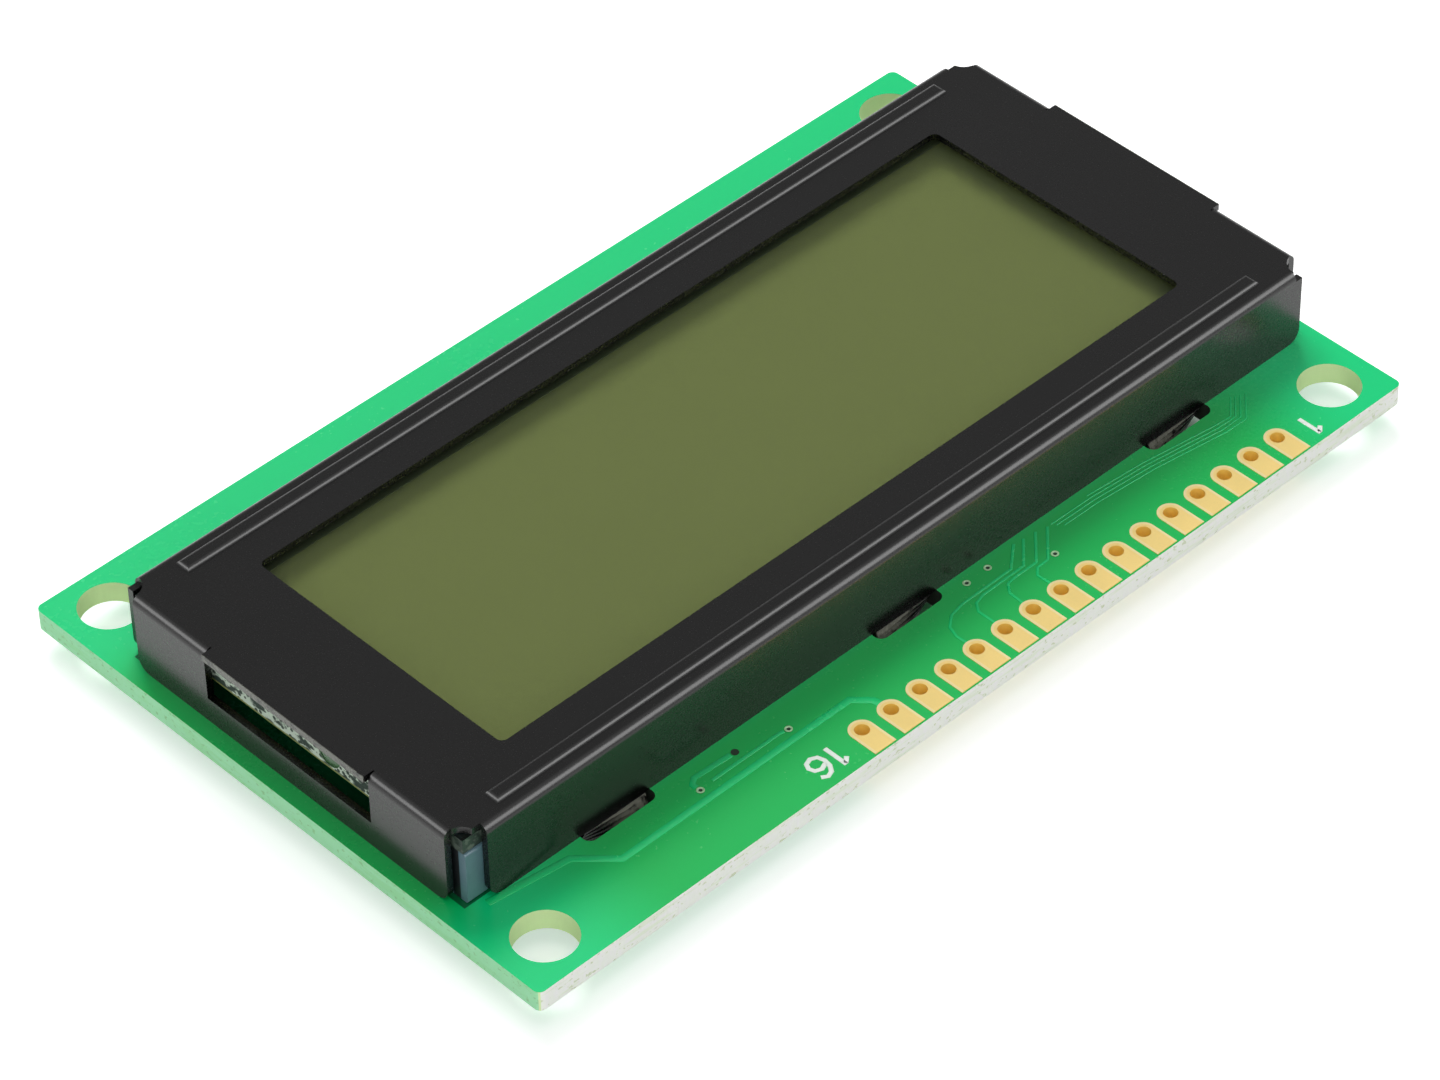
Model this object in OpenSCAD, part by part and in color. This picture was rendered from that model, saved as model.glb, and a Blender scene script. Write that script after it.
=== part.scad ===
// Character LCD module: a reflective four-line display cell under a folded steel bezel,
// carried by a circuit board with four mounting holes and a row of sixteen plated pads.
// X runs along the text lines, Y up the page as the display is read and Z out of the display.
// The origin lies under the middle of the board, level with the ends of the bezel's twisted tabs.

/* [Circuit board] */
// Length of the board, along the text lines
board_l = 77; // [76.5:0.5:90]
// Width of the board
board_w = 47; // [46:0.5:60]
// Thickness of the board
board_t = 1.6; // [1:0.1:2.4]
// Radius of the board's corners
board_corner_r = 0.5; // [0.2:0.1:1.5]
// Diameter of the mounting holes
hole_d = 4.3; // [2.5:0.1:4.5]
// Distance of the mounting holes' centres from the short edges
hole_inset_x = 3.5; // [3:0.1:4.5]
// Distance of the mounting holes' centres from the long edges
hole_inset_y = 3.25; // [2.9:0.05:3.6]

/* [Pin pads] */
// Number of plated pads along the upper edge
pin_count = 16; // [10:1:18]
// Distance between neighbouring pads
pin_pitch = 2.54; // [2.2:0.01:2.7]
// Distance of the first pad's centre from the left short edge
pin_1_inset = 9.75; // [8:0.05:12]
// Distance of the pads' hole centres from the upper long edge
pin_inset = 2.2; // [1.6:0.1:2.8]
// Clear diameter of the plated holes
pin_hole_d = 1.0; // [0.7:0.05:1.1]
// Width of each pad
pad_w = 1.8; // [1.5:0.1:2]
// Bare laminate left between the pads and the board's edge
pad_edge_gap = 0.12; // [0.05:0.01:0.5]
// Thickness of the copper and its plating
plating_t = 0.05; // [0.03:0.01:0.1]
// Thickness of the lining in a plated hole
lining_t = 0.16; // [0.16:0.01:0.25]

/* [Bezel] */
// Outer length of the bezel over its short walls
bezel_l = 75.2; // [71:0.2:75.8]
// Outer width of the bezel over its long walls
bezel_w = 31.8; // [31:0.1:33]
// Height of the bezel's face above the board
bezel_h = 6; // [5.5:0.1:8]
// Thickness of the bezel's steel sheet
sheet_t = 0.5; // [0.3:0.05:0.6]
// Inner radius of the bezel's bends
bend_inner_r = 0.1; // [0.05:0.05:0.3]
// How far the display sits to the right of the board's middle
bezel_shift_x = -0.3; // [-0.3:0.1:0.3]
// How far the display sits above the board's middle
bezel_shift_y = -0.2; // [-0.4:0.1:0.4]
// Length of the window in the bezel
window_l = 60; // [50:0.5:63]
// Width of the window in the bezel
window_w = 22.4; // [18:0.2:23]
// Radius of the window's corners
window_corner_r = 0.5; // [0.2:0.1:1.5]
// Radius of the relief holes at the bezel's corners
relief_r = 1.2; // [1:0.1:1.4]
// Distance of the relief holes' centres inside the bezel's outer faces
relief_inset = 0.3; // [0:0.05:0.5]
// Height of the long walls' cut edge under a relief hole, below the face
relief_depth = 0.7; // [0.6:0.05:1]
// Gap from the corner to the long walls' end that stops short
wall_end_gap_long = 2.1; // [1.6:0.1:3]
// Gap from the corner to the long walls' other end
wall_end_gap_short = 0.85; // [0.7:0.05:1.4]
// Radius of the walls' lower corners
wall_corner_r = 1; // [0.4:0.1:1.5]

/* [Bezel end openings] */
// Length of the opening in each short wall
opening_l = 15.2; // [8:0.2:18]
// Height of the wall left standing below the opening
opening_sill_h = 2; // [1.2:0.1:2.4]
// How far the flat tongue over the opening stands out of the wall
tongue_out = 0.25; // [0.1:0.05:0.5]
// Slit between the tongue and the bends beside it
tongue_slit = 0.12; // [0.05:0.01:0.3]

/* [Bezel ribs] */
// Length of each stiffening rib
rib_l = 67.3; // [50:0.1:69]
// Width of a rib at its foot
rib_w = 1.2; // [1:0.1:1.3]
// Height of a rib above the face
rib_h = 0.25; // [0.15:0.05:0.3]
// Radius of a rib's rounded shoulders
rib_shoulder_r = 0.35; // [0.3:0.01:0.45]
// How far the hollow behind a rib stays inside the rib's foot
rib_hollow_inset = 0.22; // [0.15:0.01:0.3]
// Distance of a rib's middle from the bezel's long outer face
rib_inset = 1.65; // [1.3:0.05:2]

/* [Bezel tabs] */
// Distance between neighbouring tabs along a long wall
tab_pitch = 25; // [18:0.5:27]
// Width of each tab
tab_w = 5; // [3.5:0.1:5.2]
// How far the tabs reach below the board
tab_drop = 1.6; // [1.5:0.1:2.5]
// Twist of a tab from the board's front face to its tip
tab_twist_angle = 32; // [20:1:36]
// Length of the board's slot for each tab
slot_l = 5.8; // [5.6:0.1:7]
// Width of the board's slot for each tab
slot_w = 2.2; // [2:0.1:2.6]
// Radius of the slots' corners
slot_corner_r = 0.6; // [0.3:0.1:0.7]

/* [Display cell] */
// Thickness of each glass plate
glass_t = 1.1; // [0.7:0.1:1.3]
// Clearance between the glass and the bezel's walls
glass_gap = 0.3; // [0.1:0.05:0.5]
// Width of the contact ledge where the front glass overhangs the rear glass
ledge_w = 2.3; // [2:0.1:2.5]
// Thickness of the front polarizer
front_film_t = 0.25; // [0.15:0.05:0.4]
// Thickness of the rear polarizer with its reflector
rear_film_t = 0.3; // [0.15:0.05:0.4]
// Bare margin of the front glass around the front polarizer
front_film_margin = 1.5; // [0.5:0.1:2.5]
// Bare margin of the rear glass around the rear polarizer
rear_film_margin = 0.1; // [0.05:0.05:1]
// Thickness of the seal between the glass plates
seal_t = 0.05; // [0.03:0.01:0.1]
// Width of the seal between the glass plates
seal_w = 1; // [0.5:0.1:1.2]
// Width of the fill port in the seal
port_w = 1.4; // [0.8:0.1:1.8]
// Distance of the fill port above the display's middle
port_y = 3; // [-5:0.5:5]
// Radius of the resin plug over the fill port
plug_r = 1.05; // [0.95:0.05:1.08]
// Height of the resin plug
plug_h = 0.25; // [0.15:0.05:0.4]

/* [Elastomer strips] */
// Width of the elastomer contact strips
strip_w = 1.9; // [1.2:0.1:2]
// Clearance between the strips and the bezel's walls
strip_gap = 0.1; // [0.05:0.05:0.2]
// Radius of the strips' long edges
strip_edge_r = 0.2; // [0.05:0.05:0.4]
// Number of contact fingers under each strip
finger_count = 60; // [20:1:70]
// Distance between neighbouring contact fingers
finger_pitch = 1; // [0.8:0.01:1]
// Width of each contact finger
finger_w = 0.5; // [0.2:0.05:0.6]
// How far the contact fingers reach past the strip, towards the middle
finger_lap = 0.4; // [0.1:0.1:1]

/* [Chips on the back] */
// Number of resin-covered chips
chip_count = 3; // [1:1:3]
// Distance between neighbouring chips
chip_pitch = 25; // [18:0.5:25]
// Radius of a resin cover
chip_cover_r = 6.5; // [4:0.1:7]
// Height of a resin cover
chip_cover_h = 1.3; // [0.8:0.1:1.4]
// Distance of the chips above the board's middle
chip_y = 1; // [-4:0.5:4]

/* [Surface parts on the back] */
// Length of a chip resistor
resistor_l = 2; // [1.6:0.1:3.2]
// Width of a chip resistor
resistor_w = 1.25; // [0.8:0.05:1.6]
// Height of a chip resistor
resistor_h = 0.5; // [0.35:0.05:0.6]
// Distance between neighbouring resistors
resistor_pitch = 2.6; // [2.2:0.1:3]
// Length of a chip capacitor
capacitor_l = 2; // [1.6:0.1:3.2]
// Width of a chip capacitor
capacitor_w = 1.3; // [0.8:0.05:1.6]
// Height of a chip capacitor
capacitor_h = 1.1; // [0.6:0.05:1.25]
// Distance between neighbouring capacitors
capacitor_pitch = 4; // [3:0.1:5]
// Length of the soldered ends of the surface parts
terminal_l = 0.4; // [0.2:0.05:0.5]
// How far the soldered ends stand out of the ceramic body
terminal_t = 0.05; // [0.02:0.01:0.1]

/* [Hidden] */
RESISTORS = 6;
CAPACITORS = 3;
RESISTOR_NAMES = [for (i = [1:RESISTORS]) str("resistor_", i)];
CAPACITOR_NAMES = [for (i = [1:CAPACITORS]) str("capacitor_", i)];
CHIP_NAMES = [for (i = [1:chip_count]) str("chip_cover_", i)];
PAD_NAMES = [for (i = [1:pin_count]) str(i < 10 ? "pin_pad_0" : "pin_pad_", i)];

$fn = 48;
eps = 0.01;                     // overshoot of a cutter past the face it opens
upper = 1;                      // the long side that carries the pads
lower = -1;

// Heights above the lowest point, the tips of the tabs
board_back = tab_drop;
board_front = board_back + board_t;
face_z = board_front + bezel_h;
front_film_z = face_z - sheet_t - front_film_t;
front_glass_z = front_film_z - glass_t;
rear_glass_z = front_glass_z - seal_t - glass_t;
rear_film_z = rear_glass_z - rear_film_t;
strip_z = board_front + plating_t;
strip_h = front_glass_z - strip_z;

// Mounting holes and pads
hole_x = board_l / 2 - hole_inset_x;
hole_y = board_w / 2 - hole_inset_y;
pin_y = board_w / 2 - pin_inset;
barrel_d = pin_hole_d + 2 * lining_t;

// Bezel, in its own middle
bend_r = bend_inner_r + sheet_t;
half_l = bezel_l / 2;
half_w = bezel_w / 2;
short_wall_end = half_w - relief_inset - relief_r;
wall_mid_y = half_w - sheet_t / 2;
tab_turns = [1, 1, -1];         // which way each tab of a row is twisted
tab_slices = 8;

// Display cell
front_glass_l = bezel_l - 2 * (sheet_t + glass_gap);
front_glass_w = bezel_w - 2 * (sheet_t + glass_gap);
rear_glass_w = front_glass_w - 2 * ledge_w;
plug_z = rear_glass_z + glass_t + seal_t / 2;

// Elastomer strips and their contact fingers
strip_l = bezel_l - 2 * (sheet_t + glass_gap);
strip_y = half_w - sheet_t - strip_gap - strip_w / 2;
finger_l = strip_w + finger_lap;

function pin_x(n) = -board_l / 2 + pin_1_inset + (n - 1) * pin_pitch;
function spread(i, count, pitch) = (i - (count + 1) / 2) * pitch;
function chip_x(i) = spread(i, chip_count, chip_pitch);

// ---- flat shapes ----

module rounded_rect(l, w, r) {
    square([l - 2 * r, w], center = true);
    square([l, w - 2 * r], center = true);
    for (x = [-1, 1], y = [-1, 1])
        translate([x * (l / 2 - r), y * (w / 2 - r)]) circle(r = r);
}

// Section through a tray, open side down, with bent upper edges
module tray_section(l, h, r) {
    translate([-l / 2, 0]) square([l, h - r]);
    translate([-l / 2 + r, 0]) square([l - 2 * r, h]);
    for (x = [-1, 1])
        translate([x * (l / 2 - r), h - r]) circle(r = r);
}

// A drop of set resin on a flat face: a cap of a ball
module resin_cap(foot_r, h) {
    ball_r = (foot_r * foot_r + h * h) / (2 * h);
    rotate_extrude()
        intersection() {
            translate([0, h - ball_r]) circle(r = ball_r, $fn = 360);
            square([foot_r + eps, h + eps]);
        }
}

// Section through a pressed rib: flat on top, with rounded shoulders down to its foot
module rib_section(foot, h) {
    shoulder_run = sqrt(2 * rib_shoulder_r * h - h * h);
    intersection() {
        union() {
            for (x = [-1, 1])
                translate([x * (foot / 2 - shoulder_run), h - rib_shoulder_r]) circle(r = rib_shoulder_r);
            translate([shoulder_run - foot / 2, 0]) square([foot - 2 * shoulder_run, h]);
        }
        translate([-foot / 2, 0]) square([foot, h]);
    }
}

// ---- placing ----

module at_display() {
    translate([bezel_shift_x, bezel_shift_y, 0]) children();
}

// Both long sides, the lower one turned half round
module both_sides() {
    for (turn = [0, 180]) rotate([0, 0, turn]) children();
}

// Tabs and slots lie on one pitch about the board's middle, on the wall's middle plane
module at_tabs(side) {
    for (i = [-1:1])
        translate([i * tab_pitch, bezel_shift_y + side * wall_mid_y, 0]) {
            $tab_turn = tab_turns[side * i + 1];
            children();
        }
}

// ---- circuit board ----

module circuit_board() {
    color("mediumseagreen")
    translate([0, 0, board_back])
    difference() {
        linear_extrude(board_t) rounded_rect(board_l, board_w, board_corner_r);
        for (x = [-hole_x, hole_x], y = [-hole_y, hole_y])
            translate([x, y, -eps]) cylinder(d = hole_d, h = board_t + 2 * eps);
        for (n = [1:pin_count])
            translate([pin_x(n), pin_y, -eps]) cylinder(d = barrel_d, h = board_t + 2 * eps);
        for (side = [upper, lower])
            at_tabs(side)
                translate([0, 0, -eps]) linear_extrude(board_t + 2 * eps)
                    rounded_rect(slot_l, slot_w, slot_corner_r);
    }
}

// A plated pad: a land on each face, joined by the lined hole
module pad_land() {
    linear_extrude(plating_t) {
        circle(d = pad_w);
        translate([-pad_w / 2, 0]) square([pad_w, pin_inset - pad_edge_gap]);
    }
}

module pin_pad(n) {
    color("gold")
    translate([pin_x(n), pin_y, 0])
    difference() {
        union() {
            translate([0, 0, board_front]) pad_land();
            translate([0, 0, board_back - plating_t]) pad_land();
            translate([0, 0, board_back]) cylinder(d = barrel_d, h = board_t);
        }
        translate([0, 0, board_back - plating_t - eps])
            cylinder(d = pin_hole_d, h = board_t + 2 * plating_t + 2 * eps);
    }
}

// ---- bezel ----

// A tray of bent sheet, round along its four upper edges
module tray(l, w, h, r) {
    intersection() {
        rotate([90, 0, 0]) linear_extrude(w + 2 * eps, center = true) tray_section(l, h, r);
        rotate([90, 0, 90]) linear_extrude(l + 2 * eps, center = true) tray_section(w, h, r);
    }
}

// A pressed rib, with its ends rounded like its sides
module rib() {
    intersection() {
        rotate([90, 0, 90]) linear_extrude(rib_l, center = true) rib_section(rib_w, rib_h);
        rotate([90, 0, 0]) linear_extrude(rib_w, center = true) rib_section(rib_l, rib_h);
    }
}

// Takes the sharp lower corner off a wall's end, which lies in the XZ plane and ends at x = 0
module wall_corner_cut() {
    rotate([90, 0, 0])
    linear_extrude(3 * sheet_t, center = true)
    difference() {
        translate([-wall_corner_r, -eps]) square([wall_corner_r + eps, wall_corner_r + eps]);
        translate([-wall_corner_r, wall_corner_r]) circle(r = wall_corner_r);
    }
}

// Everything taken off one long wall and off the corner at each of its ends
module long_wall_cuts() {
    // room beside the long wall's two ends
    translate([half_l - wall_end_gap_long, half_w - bend_r, -eps])
        cube([wall_end_gap_long + eps, bend_r + eps, bezel_h + 2 * eps]);
    translate([-half_l - eps, half_w - bend_r, -eps])
        cube([wall_end_gap_short + eps, bend_r + eps, bezel_h + 2 * eps]);
    translate([half_l - wall_end_gap_long, wall_mid_y, 0]) wall_corner_cut();
    translate([-half_l + wall_end_gap_short, wall_mid_y, 0]) mirror([1, 0, 0]) wall_corner_cut();
    // room beside the short walls' ends, and the relief holes where the bends meet
    for (x = [-1, 1]) {
        translate([x * (half_l - bend_r / 2 + eps), (short_wall_end + half_w) / 2, bezel_h / 2])
            cube([bend_r, half_w - short_wall_end + 2 * eps, bezel_h + 2 * eps], center = true);
        translate([x * (half_l - sheet_t / 2), short_wall_end, 0])
            rotate([0, 0, 90]) wall_corner_cut();
        translate([x * (half_l - sheet_t / 2), -short_wall_end, 0])
            rotate([0, 0, -90]) wall_corner_cut();
        translate([x * (half_l - relief_inset), half_w - relief_inset, bezel_h - relief_depth])
            cylinder(r = relief_r, h = relief_depth + eps);
    }
}

// The opening in a short wall, cut on through the bend and the face above it
module end_opening(x) {
    depth = bend_r + 2 * eps;
    translate([x * (half_l - bend_r + depth / 2), 0, (opening_sill_h + bezel_h) / 2 + eps])
        cube([depth, opening_l, bezel_h - opening_sill_h + 2 * eps], center = true);
}

// The flat tongue over an opening, rooted in the face
module tongue(x) {
    inner = half_l - 2 * bend_r;
    outer = half_l + tongue_out;
    translate([x * (inner + outer) / 2, 0, bezel_h - sheet_t / 2])
        cube([outer - inner, opening_l - 2 * tongue_slit, sheet_t], center = true);
}

module tab() {
    height = board_t + tab_drop;
    rotate([180, 0, 0])
        linear_extrude(height, twist = $tab_turn * tab_twist_angle, slices = tab_slices, $fn = 4)
            square([tab_w, sheet_t], center = true);
}

module bezel() {
    color("dimgray") {
        translate([0, 0, board_front]) {
            at_display() {
                difference() {
                    union() {
                        difference() {
                            tray(bezel_l, bezel_w, bezel_h, bend_r);
                            translate([0, 0, -eps])
                                tray(bezel_l - 2 * sheet_t, bezel_w - 2 * sheet_t,
                                     bezel_h - sheet_t + eps, bend_inner_r);
                            both_sides() long_wall_cuts();
                            for (x = [-1, 1]) end_opening(x);
                        }
                        for (x = [-1, 1]) tongue(x);
                        both_sides()
                            translate([0, half_w - rib_inset, bezel_h]) rib();
                    }
                    // hollow behind each rib, pressed up from below
                    both_sides()
                        translate([0, half_w - rib_inset, bezel_h - sheet_t - eps])
                            linear_extrude(rib_h + eps)
                                square([rib_l - 2 * rib_hollow_inset, rib_w - 2 * rib_hollow_inset], center = true);
                    translate([0, 0, bezel_h - sheet_t / 2])
                        linear_extrude(2 * sheet_t, center = true)
                            rounded_rect(window_l, window_w, window_corner_r);
                }
            }
            for (side = [upper, lower]) at_tabs(side) tab();
        }
    }
}

// ---- display cell ----

module plate(l, w, z, t) {
    at_display()
        translate([0, 0, z]) linear_extrude(t) square([l, w], center = true);
}

module front_polarizer() {
    color("darkolivegreen")
        plate(front_glass_l - 2 * front_film_margin, front_glass_w - 2 * front_film_margin,
              front_film_z, front_film_t);
}

module front_glass() {
    color("lightcyan", 0.5) plate(front_glass_l, front_glass_w, front_glass_z, glass_t);
}

module rear_glass() {
    color("lightcyan", 0.5) plate(front_glass_l, rear_glass_w, rear_glass_z, glass_t);
}

module rear_polarizer() {
    color("darkkhaki")
        plate(front_glass_l - 2 * rear_film_margin, rear_glass_w - 2 * rear_film_margin,
              rear_film_z, rear_film_t);
}

// A frame between the plates, open only at the fill port
module cell_seal() {
    color("darkgreen")
    at_display()
    translate([0, 0, rear_glass_z + glass_t])
    linear_extrude(seal_t)
    difference() {
        square([front_glass_l, rear_glass_w], center = true);
        square([front_glass_l - 2 * seal_w, rear_glass_w - 2 * seal_w], center = true);
        translate([front_glass_l / 2 - seal_w - eps, port_y - port_w / 2]) square([seal_w + 2 * eps, port_w]);
    }
}

// A drop of resin on the edges of both plates
module fill_port_plug() {
    color("olivedrab")
    at_display()
    translate([front_glass_l / 2, port_y, plug_z])
    rotate([0, 90, 0]) resin_cap(plug_r, plug_h);
}

// ---- elastomer strips and their contacts ----

module elastomer_strip(side) {
    color("slategray")
    at_display()
    translate([0, side * strip_y, strip_z + strip_h / 2])
    rotate([90, 0, 90])
    linear_extrude(strip_l, center = true) rounded_rect(strip_w, strip_h, strip_edge_r);
}

module contact_row(side) {
    color("gold")
    at_display()
    for (i = [1:finger_count])
        translate([spread(i, finger_count, finger_pitch), side * (strip_y - finger_lap / 2),
                   board_front + plating_t / 2])
            cube([finger_w, finger_l, plating_t], center = true);
}

// ---- parts on the back ----

module chip_cover(i) {
    color("black")
    translate([chip_x(i), chip_y, board_back])
    rotate([180, 0, 0]) resin_cap(chip_cover_r, chip_cover_h);
}

// A ceramic body with a soldered cap over each end, lying along X
module surface_part(l, w, h) {
    body_h = h - 2 * terminal_t;
    cube([l - 2 * terminal_t, w - 2 * terminal_t, body_h], center = true);
    for (x = [-1, 1])
        translate([x * (l - terminal_l) / 2, 0, 0]) cube([terminal_l, w, h], center = true);
}

module resistor(i) {
    color("darkslategray")
    translate([(chip_x(1) + chip_x(2)) / 2, chip_y + spread(i, RESISTORS, resistor_pitch),
               board_back - resistor_h / 2])
        surface_part(resistor_l, resistor_w, resistor_h);
}

module capacitor(i) {
    color("tan")
    translate([(chip_x(chip_count - 1) + chip_x(chip_count)) / 2,
               chip_y + spread(i, CAPACITORS, capacitor_pitch), board_back - capacitor_h / 2])
        surface_part(capacitor_l, capacitor_w, capacitor_h);
}

circuit_board();
bezel();
front_polarizer();
front_glass();
cell_seal();
fill_port_plug();
rear_glass();
rear_polarizer();
elastomer_strip(upper);  // elastomer_strip_upper
elastomer_strip(lower);  // elastomer_strip_lower
contact_row(upper);  // contact_row_upper
contact_row(lower);  // contact_row_lower
for (n = [1:pin_count])
    pin_pad(n);
for (i = [1:chip_count])
    chip_cover(i);
for (i = [1:RESISTORS])
    resistor(i);
for (i = [1:CAPACITORS])
    capacitor(i);
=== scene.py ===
import math

import bpy
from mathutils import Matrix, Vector


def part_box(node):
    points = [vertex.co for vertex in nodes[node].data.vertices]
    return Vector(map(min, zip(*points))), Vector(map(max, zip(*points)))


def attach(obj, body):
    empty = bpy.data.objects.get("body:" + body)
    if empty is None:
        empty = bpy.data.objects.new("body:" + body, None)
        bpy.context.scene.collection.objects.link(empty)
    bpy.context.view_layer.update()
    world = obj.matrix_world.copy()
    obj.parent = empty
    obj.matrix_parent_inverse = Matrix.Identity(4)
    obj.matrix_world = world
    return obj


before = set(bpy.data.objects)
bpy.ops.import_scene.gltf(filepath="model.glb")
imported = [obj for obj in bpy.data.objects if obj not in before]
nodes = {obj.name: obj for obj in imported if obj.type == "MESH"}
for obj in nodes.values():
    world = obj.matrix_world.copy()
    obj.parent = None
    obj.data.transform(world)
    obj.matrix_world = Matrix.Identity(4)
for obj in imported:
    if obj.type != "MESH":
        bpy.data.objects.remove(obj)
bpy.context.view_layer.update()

MM = 0.001


# ---------------------------------------------------------------- circuit board
# The board is glass cloth set in epoxy, coated on both faces with glossy green solder mask.
# It is drilled and routed out of a larger panel, so its edges and holes show the bare
# yellowish laminate with broken glass threads along them.
board_low, board_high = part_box("circuit_board")
board_front = board_high.z
board_back = board_low.z
bezel_low, bezel_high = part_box("bezel")
glass_low, glass_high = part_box("front_glass")
middle_x = (bezel_low.x + bezel_high.x) / 2
middle_y = (glass_low.y + glass_high.y) / 2

SKIN = 0.1 * MM                          # how near a surface a point counts as lying on it
GLASS_TO_WALL = 0.55 * MM                # from the glass to the middle of a long bezel wall
SLOT_HALF_WIDTH = 1.3 * MM
SLOTS_HALF_REACH = 30 * MM               # no slot lies further out along the board
UNDER_DISPLAY = (37.2 * MM, 15.4 * MM)   # half the length and width that the bezel covers
SHADE_BY_PADS_Y = (14 * MM, 16.5 * MM)  # painted shade of the bezel deepens the mask between these
SHADE_BY_PADS_X = (26 * MM, 35 * MM)    # and fades out again between these
# painted shade past the bezel's end lies between these
SHADE_PAST_END_X = (36 * MM, 37 * MM)
SHADE_PAST_END_Y = (12 * MM, 18 * MM)
WEAVE_SHOWS = 0.04                       # how strongly the cloth tints the mask
LIGHT_LOST = 0.8                         # how much of its green the mask loses under the display
RAGGEDNESS = 6.0                         # of the walls, against the weave under the mask
wall_y = glass_high.y - middle_y + GLASS_TO_WALL     # from the middle line to a long wall

MASK_GREEN = (0.001, 0.64, 0.21)
MASK_GREEN_OVER_COPPER = (0.005, 0.62, 0.18)
# multiplies the mask where the bezel's shade is painted
MASK_PAINTED_SHADE = (0.80, 0.74, 0.42)
MASK_IN_THE_DARK = (0.002, 0.02, 0.01)
LAMINATE = (0.96, 0.99, 0.92)
LAMINATE_THREAD = (0.99, 1.0, 0.97)
LAMINATE_LAYER = (0.88, 0.95, 0.80)
LAMINATE_FLECK = (0.70, 0.77, 0.56)
SHORT_EDGE_TINT = (0.40, 0.86, 0.52)
HOLE_WALL = (0.76, 0.94, 0.52)
# painted shade for the walls of the tabs' slots
SLOT_WALL_PAINTED_SHADE = (0.010, 0.018, 0.010)


def start_material(name):
    """A new node material. Returns it with its tree and its Principled shader."""
    material = bpy.data.materials.new(name)
    material.use_nodes = True
    tree = material.node_tree
    return material, tree, tree.nodes["Principled BSDF"]


def coat(node_name, material):
    """Gives a CAD node its finish."""
    mesh = nodes[node_name].data
    mesh.materials.clear()
    mesh.materials.append(material)


def add(tree, kind, **settings):
    """Adds one node to a tree."""
    node = tree.nodes.new(kind)
    for name, value in settings.items():
        setattr(node, name, value)
    return node


def math_node(tree, operation, a, b=None, c=None):
    """One Math node whose inputs are sockets or numbers. Returns its output."""
    node = add(tree, "ShaderNodeMath", operation=operation)
    for socket, value in zip(node.inputs, (a, b, c)):
        if value is None:
            continue
        if isinstance(value, (int, float)):
            socket.default_value = value
        else:
            tree.links.new(value, socket)
    return node.outputs[0]


def product(tree, a, b):
    return math_node(tree, "MULTIPLY", a, b)


def total(tree, a, b):
    return math_node(tree, "ADD", a, b)


def apart(tree, a, b):
    """How far two values lie from each other."""
    return math_node(tree, "ABSOLUTE", math_node(tree, "SUBTRACT", a, b))


def opposite(tree, mask):
    """1 where the mask is 0, and 0 where it is 1."""
    return math_node(tree, "SUBTRACT", 1.0, mask)


def around(tree, mask, middle, swing):
    """A value that moves with a mask by the given swing about its middle."""
    return math_node(tree, "MULTIPLY_ADD", mask, swing, middle)


def between(tree, mask, low, high):
    """low where the mask is 0, and high where it is 1."""
    return around(tree, mask, low, high - low)


def mix_colour(tree, factor, a, b, blend="MIX"):
    """One Mix node for colours, given as sockets or (r, g, b). Returns its result."""
    node = add(tree, "ShaderNodeMix", data_type="RGBA", blend_type=blend)
    for socket, value in ((node.inputs[0], factor), (node.inputs[6], a), (node.inputs[7], b)):
        if isinstance(value, (int, float)):
            socket.default_value = value
        elif isinstance(value, tuple):
            socket.default_value = (*value, 1)
        else:
            tree.links.new(value, socket)
    return node.outputs[2]


def step_over(tree, value, low, high):
    """0 below low, 1 above high and a smooth rise between them."""
    node = add(tree, "ShaderNodeMapRange", interpolation_type="SMOOTHSTEP")
    node.inputs["From Min"].default_value = low
    node.inputs["From Max"].default_value = high
    tree.links.new(value, node.inputs["Value"])
    return node.outputs["Result"]


def noise(tree, vector, scale, detail, stretch=(1, 1, 1)):
    """Noise between 0 and 1 on the given coordinates, in lumps of 1 / scale metres."""
    mapping = add(tree, "ShaderNodeMapping")
    mapping.inputs["Scale"].default_value = stretch
    tree.links.new(vector, mapping.inputs["Vector"])
    node = add(tree, "ShaderNodeTexNoise")
    node.inputs["Scale"].default_value = scale
    node.inputs["Detail"].default_value = detail
    tree.links.new(mapping.outputs[0], node.inputs["Vector"])
    return node.outputs["Fac"]


def object_place(tree):
    """The point's place on the part, and its separate x, y and z."""
    where = add(tree, "ShaderNodeTexCoord").outputs["Object"]
    split = add(tree, "ShaderNodeSeparateXYZ")
    tree.links.new(where, split.inputs[0])
    return where, split.outputs


def is_level(tree):
    """1 on faces that lie level, whichever way up, and 0 on upright walls."""
    split = add(tree, "ShaderNodeSeparateXYZ")
    tree.links.new(add(tree, "ShaderNodeNewGeometry").outputs["Normal"], split.inputs[0])
    return step_over(tree, math_node(tree, "ABSOLUTE", split.outputs[2]), low=0.45, high=0.55)


def bump(tree, shader, height, strength, distance):
    """Roughens a shader's surface by a height, which is scaled by a distance in metres."""
    node = add(tree, "ShaderNodeBump")
    node.inputs["Strength"].default_value = strength
    node.inputs["Distance"].default_value = distance
    tree.links.new(height, node.inputs["Height"])
    tree.links.new(node.outputs[0], shader.inputs["Normal"])


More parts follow.
